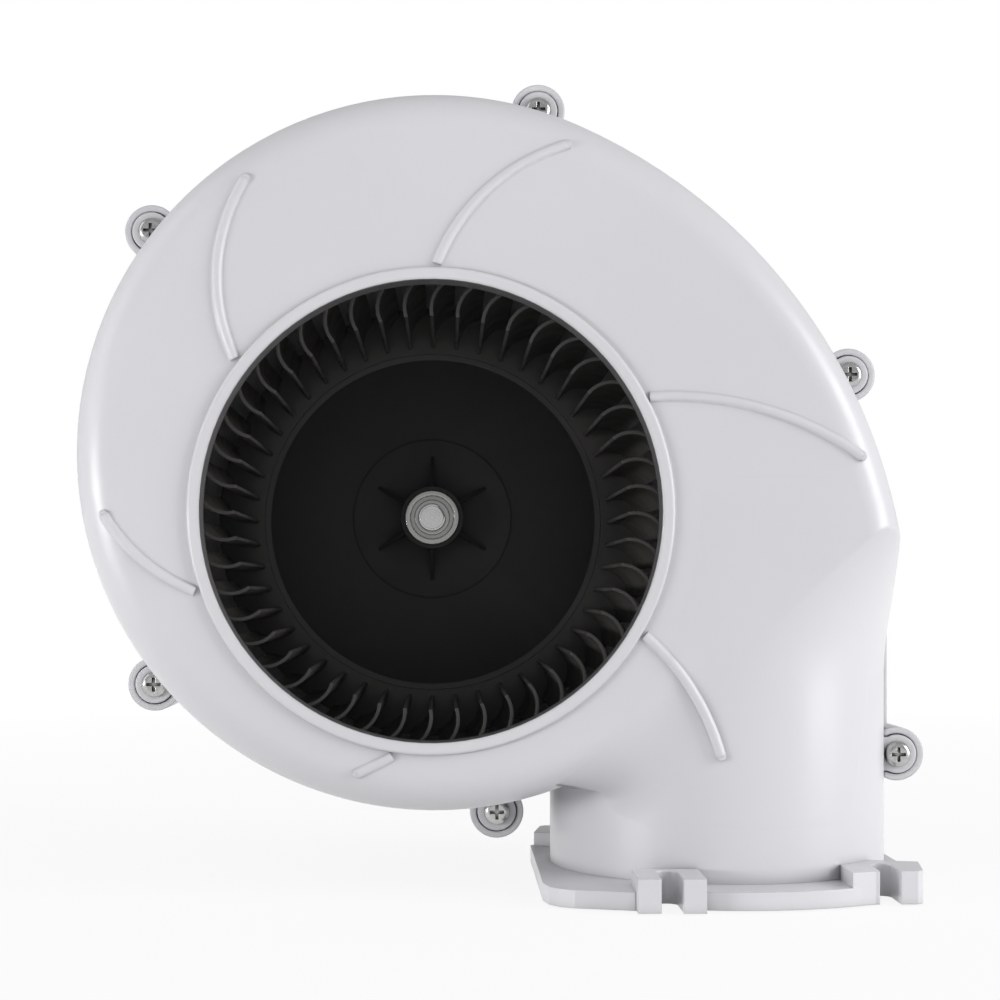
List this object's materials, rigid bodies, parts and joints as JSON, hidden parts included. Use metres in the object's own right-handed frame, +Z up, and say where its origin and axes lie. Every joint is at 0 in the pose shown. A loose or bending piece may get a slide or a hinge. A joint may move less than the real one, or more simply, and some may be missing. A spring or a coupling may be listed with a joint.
{
  "type": "dc blower fan",
  "caption": "Flange-mounted dc blower fan: round inlet eye, forward-curved impeller on a motor shaft, two-shell scroll housing and a round outlet duct with a slotted mounting flange.",
  "frame": {"origin": "centre of the round outlet duct on the flat lower face of the mounting flange", "axes": "+Z up along the outlet duct, away from the mounting surface; +Y along the impeller shaft from the inlet to the motor; +X to the right of somebody who looks into the inlet"},
  "size_m": [0.2499, 0.1799, 0.2391],
  "materials": {
    "front_housing": "smooth moulded gloss",
    "rear_housing": "smooth moulded gloss",
    "outlet_flange": "smooth moulded gloss",
    "motor_cover": "smooth moulded gloss",
    "impeller": "satin black moulding",
    "screws": "stainless",
    "hub_insert": "machined",
    "shaft_steel": "ground",
    "spring_steel": "drawn",
    "lamination": "punched stack",
    "copper": "bare and enamelled copper",
    "can_steel": "black paint",
    "cast_metal": "die cast",
    "bearing_steel": "ground",
    "ferrite": "sintered ferrite",
    "brass": "drawn",
    "carbon": "pressed carbon",
    "ring_metal": "stamped",
    "rubber": "moulded"
  },
  "bodies": {
    "housing": {"front_housing": "front_housing", "rear_housing": "rear_housing", "outlet_flange": "outlet_flange", "housing_screws": "screws", "motor_can": "can_steel", "motor_front_bell": "cast_metal", "motor_rear_cap": "cast_metal", "front_bearing": "bearing_steel", "rear_bearing": "bearing_steel", "stator_magnets": "ferrite", "brush_holders": "brass", "carbon_brushes": "carbon", "brush_springs": "spring_steel", "motor_mount_ring": "ring_metal", "motor_gasket": "rubber", "motor_mount_screws": "screws", "motor_cover": "motor_cover", "cover_screws": "screws", "cable_gland": "rubber"},
    "rotor": {"impeller": "impeller", "impeller_hub": "impeller", "hub_insert": "hub_insert", "motor_shaft": "shaft_steel", "shaft_circlip": "spring_steel", "armature_core": "lamination", "armature_windings": "copper", "commutator": "copper"}
  },
  "joints": [
    {"name": "impeller_spin", "type": "hinge", "parent": "housing", "child": "rotor", "pos_m": [-0.0858, 0, 0.1088], "axis": [0, 1, 0], "continuous": true}
  ]
}
